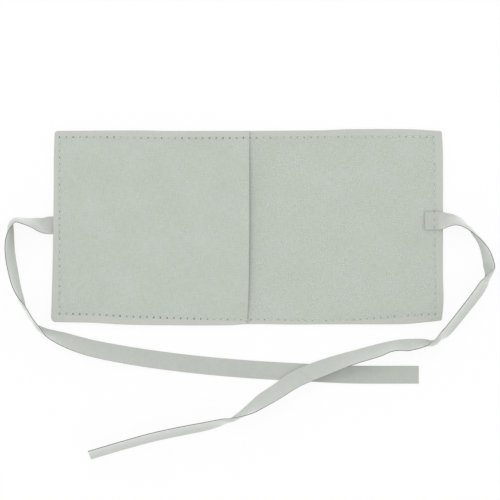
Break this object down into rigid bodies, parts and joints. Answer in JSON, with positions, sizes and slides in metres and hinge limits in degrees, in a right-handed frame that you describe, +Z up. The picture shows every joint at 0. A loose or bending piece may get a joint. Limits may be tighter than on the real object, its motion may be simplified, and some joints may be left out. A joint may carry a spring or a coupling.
{
  "type": "jewelry pouch",
  "caption": "Flat microsuede jewelry pouch laid open: a sewn pocket half, a flap that folds over it and shuts it, and flat ribbons that tie round it.",
  "frame": {"origin": "on the table, under the middle of the open pouch without its ties", "axes": "+X from the pocket's end to the flap's end, +Y across the pouch, +Z up off the table"},
  "size_m": [0.2058, 0.1381, 0.0075],
  "materials": {
    "cover_suede": "sage-green microsuede, short matt nap",
    "lining_suede": "sage-green microsuede, short matt nap",
    "pocket_suede": "sage-green microsuede, short matt nap",
    "ribbon": "flat strip of sage-green microsuede, matt, with cut edges and ends",
    "thread": "tonal sewing thread, slight sheen"
  },
  "bodies": {
    "pocket_half": {"back_cover": "cover_suede", "back_lining": "lining_suede", "cover_fold": "cover_suede", "lining_fold": "lining_suede", "pocket_margin_left": "pocket_suede", "pocket_margin_top": "pocket_suede", "pocket_margin_bottom": "pocket_suede", "left_tie_sewn_end": "ribbon", "left_tie_ribbon": "ribbon", "pocket_left_thread": "thread", "pocket_top_thread": "thread", "pocket_bottom_thread": "thread", "fold_top_thread": "thread", "fold_bottom_thread": "thread"},
    "pocket_front": {"pocket_front": "pocket_suede"},
    "flap": {"flap_cover": "cover_suede", "flap_lining": "lining_suede", "right_tie_sewn_end": "ribbon", "right_tie_ribbon": "ribbon", "flap_top_thread": "thread", "flap_bottom_thread": "thread", "flap_right_thread": "thread"}
  },
  "joints": [
    {"name": "flap_fold", "type": "hinge", "parent": "pocket_half", "child": "flap", "pos_m": [0.0026, 0, 0.00235], "axis": [0, -1, 0], "range_deg": [0, 179.5], "deforming": ["cover_fold", "lining_fold", "fold_top_thread", "fold_bottom_thread", "right_tie_ribbon"]},
    {"name": "pocket_lift", "type": "hinge", "parent": "pocket_half", "child": "pocket_front", "pos_m": [-0.0789, 0, 0.0016], "axis": [0, 1, 0], "range_deg": [-8, 0], "deforming": ["pocket_front"]}
  ]
}
